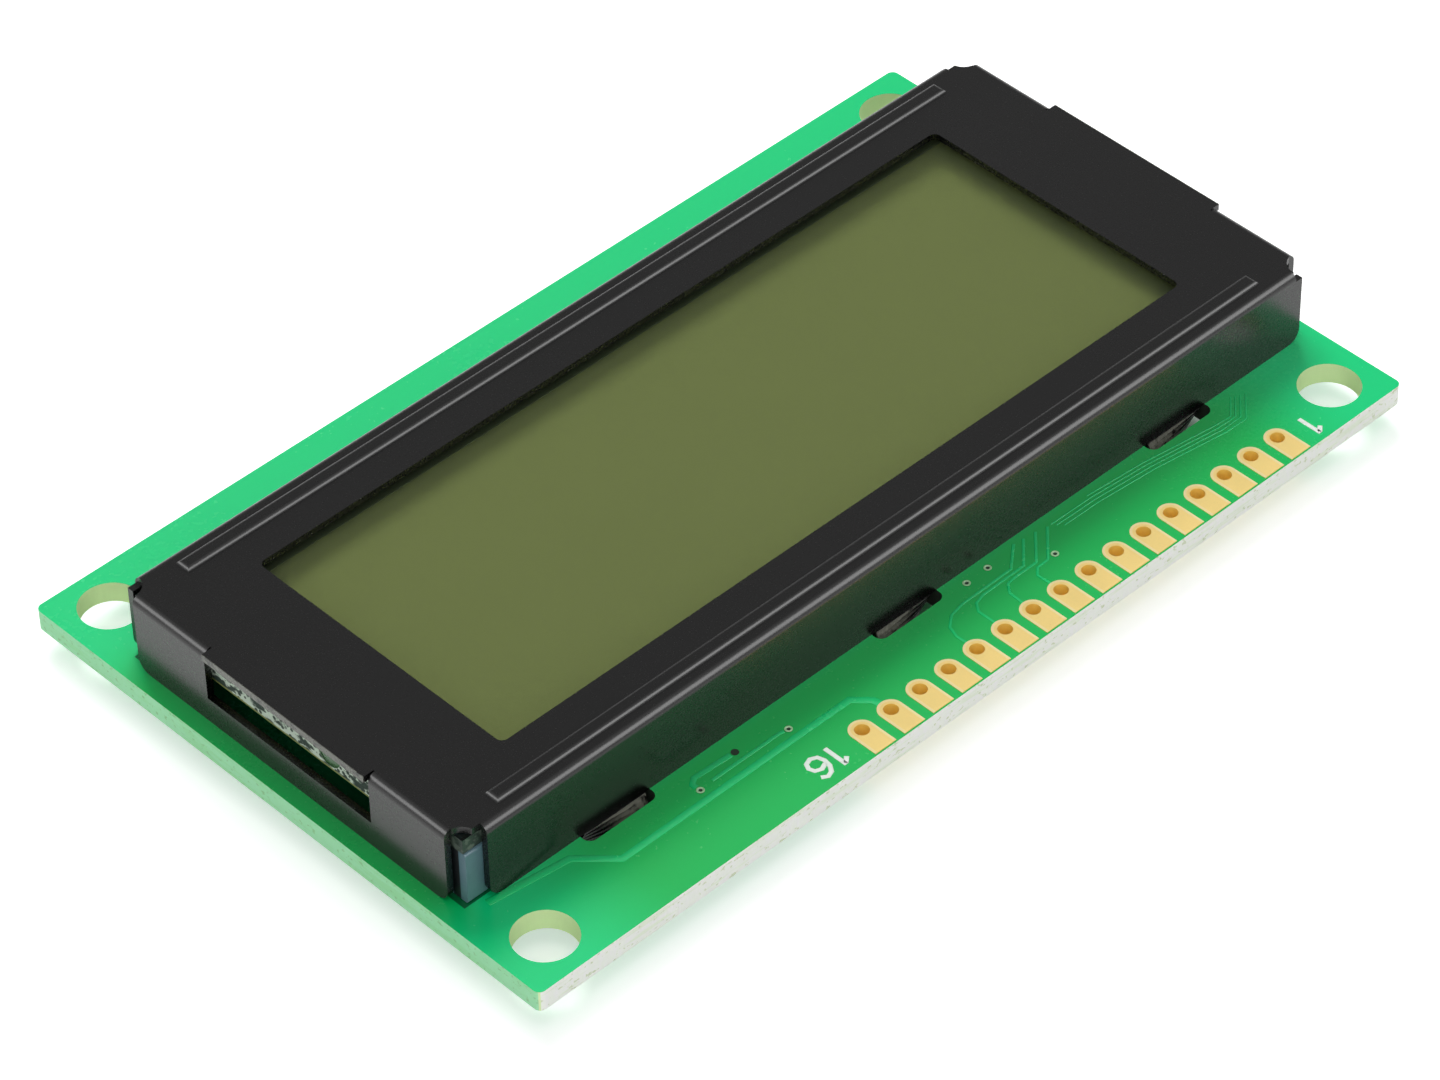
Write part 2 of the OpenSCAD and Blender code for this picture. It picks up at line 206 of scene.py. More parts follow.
def mottle_group():
    """A shared effect: slow and fine unevenness of a coat, as a colour and as a mask."""
    group = bpy.data.node_groups.new("coat_mottle", "ShaderNodeTree")
    sockets = group.interface
    for name, kind in (("Vector", "Vector"), ("Colour", "Color"), ("Slow Scale", "Float"),
                       ("Fine Scale", "Float"), ("Amount", "Float")):
        sockets.new_socket(name, in_out="INPUT", socket_type="NodeSocket" + kind)
    sockets.new_socket("Colour", in_out="OUTPUT", socket_type="NodeSocketColor")
    sockets.new_socket("Mask", in_out="OUTPUT", socket_type="NodeSocketFloat")
    given = add(group, "NodeGroupInput").outputs
    result = add(group, "NodeGroupOutput").inputs
    lumps = []
    for scale, detail in (("Slow Scale", 2), ("Fine Scale", 4)):
        node = add(group, "ShaderNodeTexNoise")
        node.inputs["Detail"].default_value = detail
        group.links.new(given["Vector"], node.inputs["Vector"])
        group.links.new(given[scale], node.inputs["Scale"])
        lumps.append(node.outputs["Fac"])
    mask = math_node(group, "SUBTRACT", total(group, *lumps), 1.0)
    gain = total(group, product(group, mask, given["Amount"]), 1.0)
    scaled = add(group, "ShaderNodeVectorMath", operation="SCALE")
    group.links.new(given["Colour"], scaled.inputs[0])
    group.links.new(gain, scaled.inputs["Scale"])
    group.links.new(scaled.outputs[0], result["Colour"])
    group.links.new(mask, result["Mask"])
    return group


coat_mottle = mottle_group()


def mottled(tree, where, colour, slow, fine, amount):
    """Places the shared unevenness in a material. Returns its colour and mask."""
    node = add(tree, "ShaderNodeGroup", node_tree=coat_mottle)
    tree.links.new(where, node.inputs["Vector"])
    node.inputs["Colour"].default_value = (*colour, 1)
    node.inputs["Slow Scale"].default_value = slow
    node.inputs["Fine Scale"].default_value = fine
    node.inputs["Amount"].default_value = amount
    return node.outputs["Colour"], node.outputs["Mask"]


def cloth_weave(tree, where):
    """The threads of the glass cloth, which cross at right angles."""
    threads = []
    for direction in ("X", "Y"):
        bands = add(tree, "ShaderNodeTexWave", wave_type="BANDS", bands_direction=direction)
        bands.inputs["Scale"].default_value = 420
        bands.inputs["Distortion"].default_value = 0.6
        tree.links.new(where, bands.inputs["Vector"])
        threads.append(bands.outputs["Fac"])
    return product(tree, *threads)


def sawn_laminate(tree, where, breaks):
    """The colour of a sawn edge: layers of cloth with broken threads and darker flecks."""
    layers = noise(tree, where, scale=900, detail=4, stretch=(0.25, 0.25, 3.0))
    flecks = noise(tree, where, scale=3800, detail=4, stretch=(0.6, 0.6, 1.0))
    edge = mix_colour(tree, step_over(tree, breaks, 0.42, 0.66), LAMINATE, LAMINATE_THREAD)
    edge = mix_colour(tree, step_over(tree, layers, 0.50, 0.62), edge, LAMINATE_LAYER)
    return mix_colour(tree, step_over(tree, flecks, 0.60, 0.68), edge, LAMINATE_FLECK)


def board_material():
    material, tree, shader = start_material("solder_mask_on_laminate")
    where, place = object_place(tree)
    off_x = math_node(tree, "ABSOLUTE", place[0])
    off_y = math_node(tree, "ABSOLUTE", place[1])
    on_face = is_level(tree)
    on_front = math_node(tree, "GREATER_THAN", place[2], board_front - SKIN)

    # the mask changes slowly in thickness, and the weave of the cloth shows faintly below it
    mask, unevenness = mottled(tree, where, MASK_GREEN, slow=90, fine=2200, amount=0.03)
    weave = cloth_weave(tree, where)
    mask = mix_colour(tree, product(tree, weave, WEAVE_SHOWS), mask, MASK_GREEN_OVER_COPPER)

    # painted shade: the bezel shades the board beside the pads and past its own end, so the
    # mask is painted deeper green there
    shaded_by_pads = product(tree, step_over(tree, place[1], *SHADE_BY_PADS_Y),
                      opposite(tree, step_over(tree, off_x, *SHADE_BY_PADS_X)))
    shaded_past_end = product(tree, step_over(tree, place[0], *SHADE_PAST_END_X),
                     opposite(tree, step_over(tree, off_y, *SHADE_PAST_END_Y)))
    deep = product(tree, math_node(tree, "MAXIMUM", shaded_by_pads, shaded_past_end), on_front)
    mask = mix_colour(tree, deep, mask, MASK_PAINTED_SHADE, "MULTIPLY")

    # little light reaches the mask under the display
    under_x = math_node(tree, "LESS_THAN", apart(tree, place[0], middle_x), UNDER_DISPLAY[0])
    under_y = math_node(tree, "LESS_THAN", apart(tree, place[1], middle_y), UNDER_DISPLAY[1])
    under = product(tree, product(tree, under_x, under_y), on_front)
    mask = mix_colour(tree, product(tree, under, LIGHT_LOST), mask, MASK_IN_THE_DARK)

    # the outer edges are sawn, and the two short ones greener; drilled walls are more yellow
    breaks = noise(tree, where, scale=2600, detail=5, stretch=(1.0, 1.0, 0.35))
    edge = sawn_laminate(tree, where, breaks)
    outer_x = math_node(tree, "GREATER_THAN", off_x, board_high.x - SKIN)
    outer_y = math_node(tree, "GREATER_THAN", off_y, board_high.y - SKIN)
    edge = mix_colour(tree, outer_x, edge, SHORT_EDGE_TINT, "MULTIPLY")
    wall = mix_colour(tree, math_node(tree, "MAXIMUM", outer_x, outer_y), HOLE_WALL, edge)

    # painted shade: the walls of the slots, in shadow under the bezel's walls, are painted near
    # black
    off_slot = apart(tree, apart(tree, place[1], middle_y), wall_y)
    in_slot = product(tree, math_node(tree, "LESS_THAN", off_slot, SLOT_HALF_WIDTH),
                      math_node(tree, "LESS_THAN", off_x, SLOTS_HALF_REACH))
    wall = mix_colour(tree, in_slot, wall, SLOT_WALL_PAINTED_SHADE)

    tree.links.new(mix_colour(tree, on_face, wall, mask), shader.inputs["Base Color"])
    gloss = around(tree, unevenness, middle=0.27, swing=0.02)
    rough = total(tree, gloss, between(tree, on_face, 0.45, 0.0))
    tree.links.new(rough, shader.inputs["Roughness"])
    height = total(tree, product(tree, weave, 0.03), product(tree, unevenness, 0.03))
    ragged = product(tree, breaks, opposite(tree, on_face))
    height = total(tree, height, product(tree, ragged, RAGGEDNESS))
    bump(tree, shader, height, strength=0.35, distance=0.015 * MM)
    return material


coat("circuit_board", board_material())


# ---------------------------------------------------------------- tracks on the board
# Etched copper tracks run under the mask, which rises over them and looks lighter there.
# Wide ones carry power past the display; fine ones leave the pads and the vias, and link them
# to the chips on the back.
TRACK_RISE = 0.02 * MM
SIDE_SLOPE = 1.5        # how far the sides of a strip lean in, as a share of its rise
# each track's width, and its points along the middle, in mm
FRONT_TRACKS = [
    (0.60, [(35.6, 15.8), (29.6, 16.6), (27.35, 18.85), (8.0, 18.85), (7.0, 19.9), (6.85, 20.6)]),
    (0.45, [(16.58, 17.10), (19.55, 16.95), (20.02, 17.30), (20.02, 17.66)]),
    (0.30, [(12.82, 17.95), (13.1, 17.88), (18.9, 17.88)]),
    (0.22, [(-0.81, 20.5), (-0.76, 19.6), (-1.05, 18.7), (-1.9, 18.0), (-3.1, 17.76),
            (-7.6, 17.7), (-9.4, 16.2)]),
    (0.22, [(-3.35, 20.5), (-3.35, 19.0), (-3.8, 18.35), (-4.6, 18.1), (-8.4, 18.05),
            (-10.2, 16.3)]),
    (0.22, [(-5.89, 20.5), (-5.95, 19.2), (-6.5, 18.5), (-7.3, 18.4), (-9.2, 18.4),
            (-11.2, 16.4)]),
    (0.22, [(-8.43, 20.5), (-8.38, 19.3), (-8.9, 18.8), (-9.9, 18.75), (-12.1, 16.6)]),
    (0.13, [(-30.55, 16.9), (-28.73, 18.61), (-26.9, 18.56), (-21.1, 17.70), (-16.3, 17.30),
            (-13.0, 17.25)]),
    (0.13, [(-30.15, 16.78), (-28.60, 18.24), (-26.8, 18.22), (-21.0, 17.36), (-16.2, 16.96),
            (-12.6, 16.9)]),
    (0.13, [(-29.85, 16.62), (-28.40, 17.97), (-26.7, 17.90), (-20.9, 17.04), (-16.1, 16.64),
            (-12.4, 16.6)]),
    (0.13, [(-29.60, 16.45), (-28.18, 17.74), (-26.6, 17.58), (-20.8, 16.74), (-16.0, 16.36)]),
    (0.30, [(30.0, -17.4), (26.5, -18.9), (-26.0, -18.9), (-29.0, -17.0)]),
    (0.22, [(12.0, -16.8), (11.2, -17.9), (2.5, -17.9), (1.7, -16.9)]),
    (0.22, [(-12.4, -16.8), (-13.2, -17.9), (-21.4, -17.9), (-22.2, -16.9)]),
]
BACK_SUPPLY_TRACK = (0.60, [(6.81, 20.6), (6.81, 18.9), (8.0, 17.7), (31.8, 17.7), (36.6, 12.9),
                            (36.6, -13.8), (32.3, -18.1), (-31.4, -18.1)])
FRONT_VIAS = [(16.22, 17.12), (20.01, 18.01), (12.48, 18.02), (-4.67, 16.64), (-6.63, 16.59),
              (-10.59, 18.71), (12.0, -16.8), (-12.4, -16.8), (31.2, -18.6), (-31.4, -18.4)]
# the tracks on the back that are worked out from the chips and small parts, in mm
UNDER_COVER = 0.3       # how far a track reaches in under a chip's resin
LINKED_PADS = 10        # pads that feed the middle chip
FIRST_LINKED_PAD_X, PAD_PITCH, PAD_EDGE_Y = -23.67, 2.54, 20.6
FIRST_LANE_X, LANE_PITCH, LANE_END_Y = -9.0, 0.5, 13.4
LEVEL_PITCH = 0.3       # between the level runs from the pads to the lanes
RISING_FROM_Y, RISING_LEVELS, FALLING_FROM_Y = 17.0, 8, 19.1
CORNER_CUT = 0.5
PAD_TRACK, TERMINAL_TRACK, FAN_TRACK = 0.22, 0.28, 0.20         # widths
TERMINAL_INSET = 0.1    # a track starts this far in under a part's soldered end
SPREAD_AT_CHIP = 0.72   # small parts' tracks close up towards the chip to this share
FANNED_VIAS, FAN_PITCH, FAN_AT_CHIP = 8, 1.6, 0.62
FAN_START, FAN_STRAIGHT, FAN_STOP = 4.8, 1.0, 0.3
FAN_BELOW, FAN_ABOVE = 11.5, 10.5


def flat_strip(name, width, points, surface_z, outward, rise):
    """A mitred flat strip of the given width through points in mm, standing on a face."""
    bpy.ops.object.select_all(action="DESELECT")
    section = bpy.data.curves.new(name + "_section", "CURVE")
    section.dimensions = "2D"
    outline = section.splines.new("POLY")
    outline.points.add(3)
    half, lean = width * MM / 2, SIDE_SLOPE * rise
    corners = [(-half, 0), (-half + lean, rise), (half - lean, rise), (half, 0)]
    for point, (x, y) in zip(outline.points, corners):
        point.co = (x, y * outward, 0, 1)
    outline.use_cyclic_u = True
    section_object = bpy.data.objects.new(name + "_section", section)
    bpy.context.scene.collection.objects.link(section_object)
    path = bpy.data.curves.new(name, "CURVE")
    path.dimensions = "3D"
    path.twist_mode = "Z_UP"
    path.bevel_mode = "OBJECT"
    path.bevel_object = section_object
    path.use_fill_caps = True
    line = path.splines.new("POLY")
    line.points.add(len(points) - 1)
    for point, (x, y) in zip(line.points, points):
        point.co = (x * MM, y * MM, surface_z, 1)
    strip = bpy.data.objects.new(name, path)
    bpy.context.scene.collection.objects.link(strip)
    bpy.context.view_layer.objects.active = strip
    strip.select_set(True)
    bpy.ops.object.convert(target="MESH")
    strip = bpy.context.view_layer.objects.active
    bpy.data.objects.remove(section_object)
    return strip


def joined(parts, name):
    """Makes one piece of several finished meshes."""
    bpy.ops.object.select_all(action="DESELECT")
    for part in parts:
        part.select_set(True)
    bpy.context.view_layer.objects.active = parts[0]
    bpy.ops.object.join()
    piece = bpy.context.view_layer.objects.active
    piece.name = name
    bpy.ops.object.mode_set(mode="EDIT")
    bpy.ops.mesh.select_all(action="SELECT")
    bpy.ops.mesh.normals_make_consistent(inside=False)
    bpy.ops.mesh.select_all(action="DESELECT")
    bpy.ops.object.mode_set(mode="OBJECT")
    return piece


def joined_strips(name, paths, surface_z, outward, rise):
    """One piece of many strips, each given by its width and its points."""
    return joined([flat_strip("%s_%d" % (name, i), width, points, surface_z, outward, rise)
                   for i, (width, points) in enumerate(paths)], name)


def finish_piece(piece, material):
    """Gives a new piece its finish, its body and the slot of its material."""
    piece.data.materials.clear()
    piece.data.materials.append(material)
    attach(piece, "root")


def track_material():
    material, tree, shader = start_material("solder_mask_over_copper")
    where, _ = object_place(tree)
    colour, unevenness = mottled(tree, where, MASK_GREEN_OVER_COPPER,
                                 slow=120, fine=2600, amount=0.12)
    tree.links.new(colour, shader.inputs["Base Color"])
    gloss = around(tree, unevenness, middle=0.26, swing=0.08)
    tree.links.new(gloss, shader.inputs["Roughness"])
    bump(tree, shader, unevenness, strength=0.3, distance=0.01 * MM)
    return material


def chip_circles():
    """The middle and the radius in mm of each chip's resin cover, from left to right."""
    for i in (1, 2, 3):
        low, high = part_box("chip_cover_%d" % i)
        yield (low.x + high.x) / 2 / MM, (low.y + high.y) / 2 / MM, (high.x - low.x) / 2 / MM


def fan_vias():
    """Where the vias of the fans stand, in mm. The middle chip has them on one side only."""
    for i, (chip_x, chip_y, _) in enumerate(chip_circles()):
        rows = (chip_y - FAN_BELOW,) if i == 1 else (chip_y - FAN_BELOW, chip_y + FAN_ABOVE)
        for y in rows:
            for k in range(FANNED_VIAS):
                yield chip_x + (k - (FANNED_VIAS - 1) / 2) * FAN_PITCH, y


def pad_tracks(chip):
    """Each track drops to its own level, runs to its lane and turns in under the cover."""
    chip_x, chip_y, chip_r = chip
    for k in range(LINKED_PADS):
        pad_x = FIRST_LINKED_PAD_X + PAD_PITCH * k
        lane_x = FIRST_LANE_X + LANE_PITCH * k
        level = RISING_FROM_Y + LEVEL_PITCH * k
        if k >= RISING_LEVELS:
            level = FALLING_FROM_Y - LEVEL_PITCH * (k - RISING_LEVELS)
        side = 1 if lane_x > pad_x else -1
        cut = min(CORNER_CUT, abs(lane_x - pad_x) / 2)
        # the last stretch runs at 45 degrees from the lane's end to where it meets the circle
        off = (chip_x + chip_y - (lane_x + LANE_END_Y)) / math.sqrt(2)
        run = math.sqrt((chip_r - UNDER_COVER) ** 2 - off ** 2)
        end_x = chip_x - (off + run) / math.sqrt(2)
        end_y = chip_y - (off - run) / math.sqrt(2)
        yield PAD_TRACK, [(pad_x, PAD_EDGE_Y), (pad_x, level + cut), (pad_x + side * cut, level),
                          (lane_x - side * cut, level), (lane_x, level - cut),
                          (lane_x, LANE_END_Y), (end_x, end_y)]


def terminal_tracks(chips):
    """The ends of the resistors and capacitors reach the chips on either side of them."""
    for name in sorted(nodes):
        if name.startswith("resistor_"):
            left, right = chips[0], chips[1]
        elif name.startswith("capacitor_"):
            left, right = chips[1], chips[2]
        else:
            continue
        low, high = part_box(name)
        y = (low.y + high.y) / 2 / MM
        ends = ((left, low.x / MM + TERMINAL_INSET, 1), (right, high.x / MM - TERMINAL_INSET, -1))
        for (chip_x, chip_y, chip_r), x, side in ends:
            rise = SPREAD_AT_CHIP * (y - chip_y)
            end_x = chip_x + side * math.sqrt((chip_r - UNDER_COVER) ** 2 - rise ** 2)
            turn_x = end_x + side * abs(y - chip_y - rise)
            yield TERMINAL_TRACK, [(x, y), (turn_x, y), (end_x, chip_y + rise)]


def fan_tracks(chips):
    """Every chip fans out to its vias, outside the rows of contact fingers."""
    for x, y in fan_vias():
        chip_x, chip_y, _ = min(chips, key=lambda chip: abs(chip[0] - x))
        side = 1 if y > chip_y else -1
        near_x = chip_x + (x - chip_x) * FAN_AT_CHIP
        bend = abs(x - near_x)
        yield FAN_TRACK, [(near_x, chip_y + side * FAN_START),
                          (near_x, y - side * (FAN_STRAIGHT + bend)),
                          (x, y - side * FAN_STRAIGHT), (x, y - side * FAN_STOP)]


chips = list(chip_circles())
back_paths = [*pad_tracks(chips[1]), *terminal_tracks(chips), *fan_tracks(chips),
              BACK_SUPPLY_TRACK]
masked_copper = track_material()
front_tracks = joined_strips("front_tracks", FRONT_TRACKS, board_front, 1, TRACK_RISE)
finish_piece(front_tracks, masked_copper)
back_tracks = joined_strips("back_tracks", back_paths, board_back, -1, TRACK_RISE)
finish_piece(back_tracks, masked_copper)


# ---------------------------------------------------------------- vias
# A via is a small drilled hole lined with copper that joins tracks on the two faces.
# Its rim stands a little proud and shows pale through thin mask; the shallow middle is painted
# near black as the hole's shade.
VIA_R = 0.27 * MM
VIA_HOLE_R = 0.11 * MM
VIA_RISE = 0.045 * MM
VIA_SHOULDER = 0.08 * MM        # from the outer edge to the crest of the rim
VIA_CREST = 0.02 * MM           # the crest above the shoulder
VIA_FLOOR_DROP = 0.05 * MM      # the floor of the hole below the crest
VIA_RIM_COLOUR = (0.42, 0.72, 0.40)
VIA_HOLE_PAINTED_SHADE = (0.008, 0.03, 0.012)


def via(name, x, y, surface_z, outward):
    """A low domed ring with a shallow floor inside it, painted dark as the hole's shade."""
    bpy.ops.object.select_all(action="DESELECT")
    bpy.ops.mesh.primitive_cylinder_add(
        vertices=24, radius=VIA_R, depth=VIA_RISE, end_fill_type="NGON",
        location=(x * MM, y * MM, surface_z + outward * VIA_RISE / 2))
    ring = bpy.context.active_object
    ring.name = name
    bpy.ops.object.transform_apply(location=True, rotation=True, scale=True)
    top_z = surface_z + outward * VIA_RISE
    for face in ring.data.polygons:
        face.select = abs(face.center.z - top_z) < 0.001 * MM
    bpy.ops.object.mode_set(mode="EDIT")
    bpy.ops.mesh.select_mode(type="FACE")
    bpy.ops.mesh.inset(thickness=VIA_SHOULDER)
    bpy.ops.transform.translate(value=(0, 0, outward * VIA_CREST))
    bpy.ops.mesh.inset(thickness=VIA_R - VIA_HOLE_R - VIA_SHOULDER)
    bpy.ops.transform.translate(value=(0, 0, -outward * VIA_FLOOR_DROP))
    bpy.ops.mesh.select_all(action="DESELECT")
    bpy.ops.object.mode_set(mode="OBJECT")
    return ring


def joined_vias(name, places, surface_z, outward):
    """One piece of all the vias on one face."""
    return joined([via("%s_%d" % (name, i), x, y, surface_z, outward)
                   for i, (x, y) in enumerate(places)], name)


def via_material():
    """Rim colour outside the hole, and near black painted shade inside it, told apart by height.
    """
    material, tree, shader = start_material("via_rim")
    where, place = object_place(tree)
    rim, _ = mottled(tree, where, VIA_RIM_COLOUR, slow=800, fine=6000, amount=0.5)
    above = math_node(tree, "SUBTRACT", place[2], board_front)
    below = math_node(tree, "SUBTRACT", board_back, place[2])
    standing = math_node(tree, "MAXIMUM", above, below)
    on_rim = step_over(tree, standing, 0.022 * MM, 0.04 * MM)
    tree.links.new(mix_colour(tree, on_rim, VIA_HOLE_PAINTED_SHADE, rim), shader.inputs["Base Color"])
    shader.inputs["Roughness"].default_value = 0.35
    return material


via_rim = via_material()
front_vias = joined_vias("front_vias", FRONT_VIAS, board_front, 1)
finish_piece(front_vias, via_rim)
back_vias = joined_vias("back_vias", FRONT_VIAS + list(fan_vias()), board_back, -1)
finish_piece(back_vias, via_rim)


# ---------------------------------------------------------------- printed numbers
# White epoxy ink, screened on the mask, numbers the first and the last pad, and rings each
# chip on the back. It lies a few hundredths of a millimetre proud and is slightly uneven.
INK_WHITE = (0.82, 0.88, 0.82)
INK_RISE = 0.02 * MM
NUMBER_STROKE = 0.34    # all below in mm
RING_STROKE = 0.18
RING_GAP = 0.5          # between a chip's cover and the middle of its ring
RING_CORNERS = 72
# the strokes of the 1, and then of the 16
PRINTED_STROKES = [
    [(-31.12, 22.95), (-31.12, 21.05)],
    [(-31.60, 22.46), (-31.16, 22.84)],
    [(12.10, 22.72), (12.10, 20.80)],
    [(11.62, 22.23), (12.06, 22.61)],
    [(14.02, 22.42), (13.62, 22.66), (13.20, 22.50), (12.90, 22.05), (12.82, 21.50),
     (12.96, 21.02), (13.40, 20.82), (13.86, 20.98), (14.04, 21.36), (13.90, 21.76),
     (13.46, 21.94), (12.98, 21.74)],
]


def ink_material():
    material, tree, shader = start_material("white_ink")
    where, _ = object_place(tree)
    colour, unevenness = mottled(tree, where, INK_WHITE, slow=900, fine=9000, amount=0.10)
    tree.links.new(colour, shader.inputs["Base Color"])
    shader.inputs["Roughness"].default_value = 0.55
    bump(tree, shader, unevenness, strength=0.4, distance=0.01 * MM)
    return material


def ring_path(x, y, cover_radius):
    """The width and the points of the ring of ink round a chip's cover."""
    radius = cover_radius + RING_GAP
    turns = [math.tau * i / RING_CORNERS for i in range(RING_CORNERS + 1)]
    return RING_STROKE, [(x + radius * math.cos(a), y + radius * math.sin(a)) for a in turns]


white_ink = ink_material()
strokes = [(NUMBER_STROKE, points) for points in PRINTED_STROKES]
pad_numbers = joined_strips("pad_numbers", strokes, board_front, 1, INK_RISE)
finish_piece(pad_numbers, white_ink)
rings = [ring_path(*chip) for chip in chips]
chip_rings = joined_strips("chip_rings", rings, board_back, -1, INK_RISE)
finish_piece(chip_rings, white_ink)


# ---------------------------------------------------------------- pads and contact rows
# Copper lands with a thin coat of gold over nickel: sixteen lined holes for the header,
# and two rows of fingers that the elastomer strips press on.
GOLD = (0.98, 0.74, 0.27)
GOLD_PIT = (0.55, 0.30, 0.10)
GOLD_RIM = (0.98, 0.82, 0.44)
# gold's own orange down the holes, brightened and drawn without metal as painted light
GOLD_HOLE_WALL_AND_GLOW = (1.0, 0.70, 0.15)
PIN_PITCH = 2.54 * MM
WHOLE_PITCHES = 4 * PIN_PITCH       # keeps the remainder positive past the first pad
RIM_START, RIM_FULL = 0.24 * MM, 0.10 * MM      # in from a pad's rounded edge
PIT_TINT = 0.35
GOLD_SHEEN = 0.45                   # how metallic the lands are; the hole walls aren't
first_pad, first_pad_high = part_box("pin_pad_01")
pad_half = (first_pad_high.x - first_pad.x) / 2


def from_pad_middle(tree, place):
    """How far a point is from the line that runs from a pad's hole out to its square end."""
    row_start = first_pad.x + pad_half - PIN_PITCH / 2
    along = math_node(tree, "SUBTRACT", place[0], row_start)
    along = math_node(tree, "MODULO", total(tree, along, WHOLE_PITCHES), PIN_PITCH)
    along = math_node(tree, "SUBTRACT", along, PIN_PITCH / 2)
    inward = math_node(tree, "SUBTRACT", place[1], first_pad.y + pad_half)
    inward = math_node(tree, "MINIMUM", inward, 0.0)
    squares = total(tree, product(tree, along, along), product(tree, inward, inward))
    return math_node(tree, "SQRT", squares)


def gold_material():
    """Palest along a pad's rim, pitted, and down its hole an orange raised as painted light."""
    material, tree, shader = start_material("gold_on_copper")
    where, place = object_place(tree)
    colour, unevenness = mottled(tree, where, GOLD, slow=500, fine=5200, amount=0.09)
    pits = step_over(tree, noise(tree, where, scale=5200, detail=2), 0.70, 0.78)
    colour = mix_colour(tree, product(tree, pits, PIT_TINT), colour, GOLD_PIT)
    on_rim = step_over(tree, from_pad_middle(tree, place),
                       pad_half - RIM_START, pad_half - RIM_FULL)
    colour = mix_colour(tree, on_rim, colour, GOLD_RIM)
    on_wall = opposite(tree, is_level(tree))
    colour = mix_colour(tree, on_wall, colour, GOLD_HOLE_WALL_AND_GLOW)
    tree.links.new(colour, shader.inputs["Base Color"])
    tree.links.new(between(tree, on_wall, GOLD_SHEEN, 0.0), shader.inputs["Metallic"])
    rough = around(tree, unevenness, middle=0.50, swing=0.15)
    tree.links.new(rough, shader.inputs["Roughness"])
    bump(tree, shader, unevenness, strength=0.35, distance=0.01 * MM)
    return material


gold = gold_material()
for name in nodes:
    if name.startswith(("pin_pad_", "contact_row_")):
        coat(name, gold)


# ---------------------------------------------------------------- display cell
# Two plates of float glass, sealed around with a thin line of epoxy and filled through a port
# that is closed with a drop of clear resin. Polarizer film is stuck on the front, and film
# backed with a matt reflector on the rear, so daylight comes back out of it olive.
GLASS_TINT = (0.55, 0.68, 0.58)
GLASS_EDGE = (0.030, 0.050, 0.038)
GLASS_CHIP = (0.55, 0.66, 0.54)
FILM_OLIVE = (0.045, 0.058, 0.018)
REFLECTOR_OLIVE = (0.198, 0.240, 0.064)
SEAL_GREEN = (0.02, 0.05, 0.02)
PORT_RESIN_GREEN = (0.05, 0.13, 0.05)
SNAPPED_UP_TO = (8 * MM, 10 * MM)       # the chipping of an end fades out between these
CHIPS_AT_CORNERS = 0.15                 # what is left of it there
EDGE_ALPHA, EDGE_ROUGHNESS = 0.95, 0.45


def glass_material(name, face_colour, face_alpha, face_roughness):
    """The cut edges of a plate are dark, with small pale chips out of them."""
    material, tree, shader = start_material(name)
    where, place = object_place(tree)
    on_edge = opposite(tree, is_level(tree))
    flakes = add(tree, "ShaderNodeTexVoronoi", feature="F1", distance="EUCLIDEAN")
    flakes.inputs["Scale"].default_value = 2400
    tree.links.new(where, flakes.inputs["Vector"])
    chipped = step_over(tree, flakes.outputs["Distance"], 0.30, 0.42)
    patches = noise(tree, where, scale=1500, detail=5, stretch=(1.0, 0.6, 1.4))
    patches = step_over(tree, patches, 0.46, 0.56)
    # the plates are scored and snapped at their ends, and clean at the corners
    clean = step_over(tree, apart(tree, place[1], middle_y), *SNAPPED_UP_TO)
    left = between(tree, clean, 1.0, CHIPS_AT_CORNERS)
    pale = product(tree, product(tree, chipped, patches), left)
    edge = mix_colour(tree, pale, GLASS_EDGE, GLASS_CHIP)
    face, _ = mottled(tree, where, face_colour, slow=60, fine=5200, amount=0.06)
    tree.links.new(mix_colour(tree, on_edge, face, edge), shader.inputs["Base Color"])
    if face_alpha < 1:
        alpha = between(tree, on_edge, face_alpha, EDGE_ALPHA)
        tree.links.new(alpha, shader.inputs["Alpha"])
    rough = between(tree, on_edge, face_roughness, EDGE_ROUGHNESS)
    tree.links.new(rough, shader.inputs["Roughness"])
    bump(tree, shader, product(tree, flakes.outputs["Distance"], on_edge),
         strength=0.8, distance=0.05 * MM)
    return material


def front_film_material():
    """Thin grey-green film with a fine antiglare grain, which lets most light through."""
    material, tree, shader = start_material("front_polarizer_film")
    where, _ = object_place(tree)
    colour, unevenness = mottled(tree, where, FILM_OLIVE, slow=40, fine=3500, amount=0.05)
    tree.links.new(colour, shader.inputs["Base Color"])
    gloss = around(tree, unevenness, middle=0.22, swing=0.04)
    tree.links.new(gloss, shader.inputs["Roughness"])
    shader.inputs["Alpha"].default_value = 0.14
    shader.inputs["Specular IOR Level"].default_value = 0.30
    bump(tree, shader, unevenness, strength=0.05, distance=0.01 * MM)
    return material


def reflector_material():
    material, tree, shader = start_material("olive_reflector")
    where, _ = object_place(tree)
    colour, unevenness = mottled(tree, where, REFLECTOR_OLIVE, slow=60, fine=5200, amount=0.07)
    tree.links.new(colour, shader.inputs["Base Color"])
    shader.inputs["Roughness"].default_value = 0.75
    bump(tree, shader, unevenness, strength=0.3, distance=0.01 * MM)
    return material


def resin_material(name, colour, roughness, slow, amount):
    """Set resin: smooth, glossy, with slow swells in its surface."""
    material, tree, shader = start_material(name)
    where, _ = object_place(tree)
    tinted, unevenness = mottled(tree, where, colour, slow=slow, fine=slow * 9, amount=amount)
    tree.links.new(tinted, shader.inputs["Base Color"])
    gloss = around(tree, unevenness, middle=roughness, swing=0.10)
    tree.links.new(gloss, shader.inputs["Roughness"])
    bump(tree, shader, unevenness, strength=0.5, distance=0.03 * MM)
    return material


coat("rear_polarizer", reflector_material())
